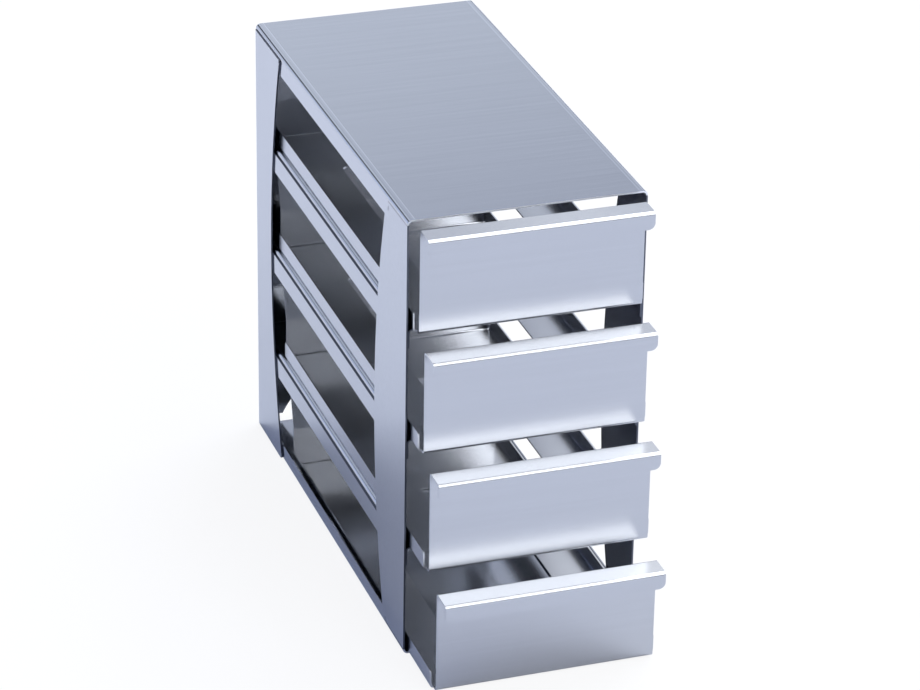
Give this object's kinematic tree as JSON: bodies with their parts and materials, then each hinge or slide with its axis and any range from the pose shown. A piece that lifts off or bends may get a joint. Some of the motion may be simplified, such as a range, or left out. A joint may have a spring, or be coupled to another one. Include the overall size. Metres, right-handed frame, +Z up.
{
  "type": "freezer storage rack",
  "caption": "Folded stainless sheet frame with open side windows and stacked pull-out drawers that hold square freezer storage boxes.",
  "frame": {"origin": "centre of the frame's underside, on the surface that the rack stands on", "axes": "+X to the right as seen from the drawer fronts, +Y to the back panel, +Z up; the drawers open towards -Y"},
  "size_m": [0.144, 0.3652, 0.2776],
  "materials": {
    "frame_steel": "satin stainless sheet with a fine grain",
    "runner_steel": "satin stainless sheet with a fine grain",
    "drawer_steel": "satin stainless sheet with a fine grain"
  },
  "bodies": {
    "frame": {"side_panel_left": "frame_steel", "side_panel_right": "frame_steel", "top_cover": "frame_steel", "base_plate": "frame_steel", "back_panel": "frame_steel", "runner_left_1": "runner_steel", "runner_left_2": "runner_steel", "runner_left_3": "runner_steel", "runner_right_1": "runner_steel", "runner_right_2": "runner_steel", "runner_right_3": "runner_steel"},
    "tray_1": {"drawer_1": "drawer_steel"},
    "tray_2": {"drawer_2": "drawer_steel"},
    "tray_3": {"drawer_3": "drawer_steel"},
    "tray_4": {"drawer_4": "drawer_steel"}
  },
  "joints": [
    {"name": "drawer_1_slide", "type": "slide", "parent": "frame", "child": "tray_1", "axis": [0, -1, 0], "range_m": [-0.009, 0.231]},
    {"name": "drawer_2_slide", "type": "slide", "parent": "frame", "child": "tray_2", "axis": [0, -1, 0], "range_m": [-0.02, 0.22]},
    {"name": "drawer_3_slide", "type": "slide", "parent": "frame", "child": "tray_3", "axis": [0, -1, 0], "range_m": [-0.032, 0.208]},
    {"name": "drawer_4_slide", "type": "slide", "parent": "frame", "child": "tray_4", "axis": [0, -1, 0], "range_m": [-0.047, 0.193]}
  ]
}
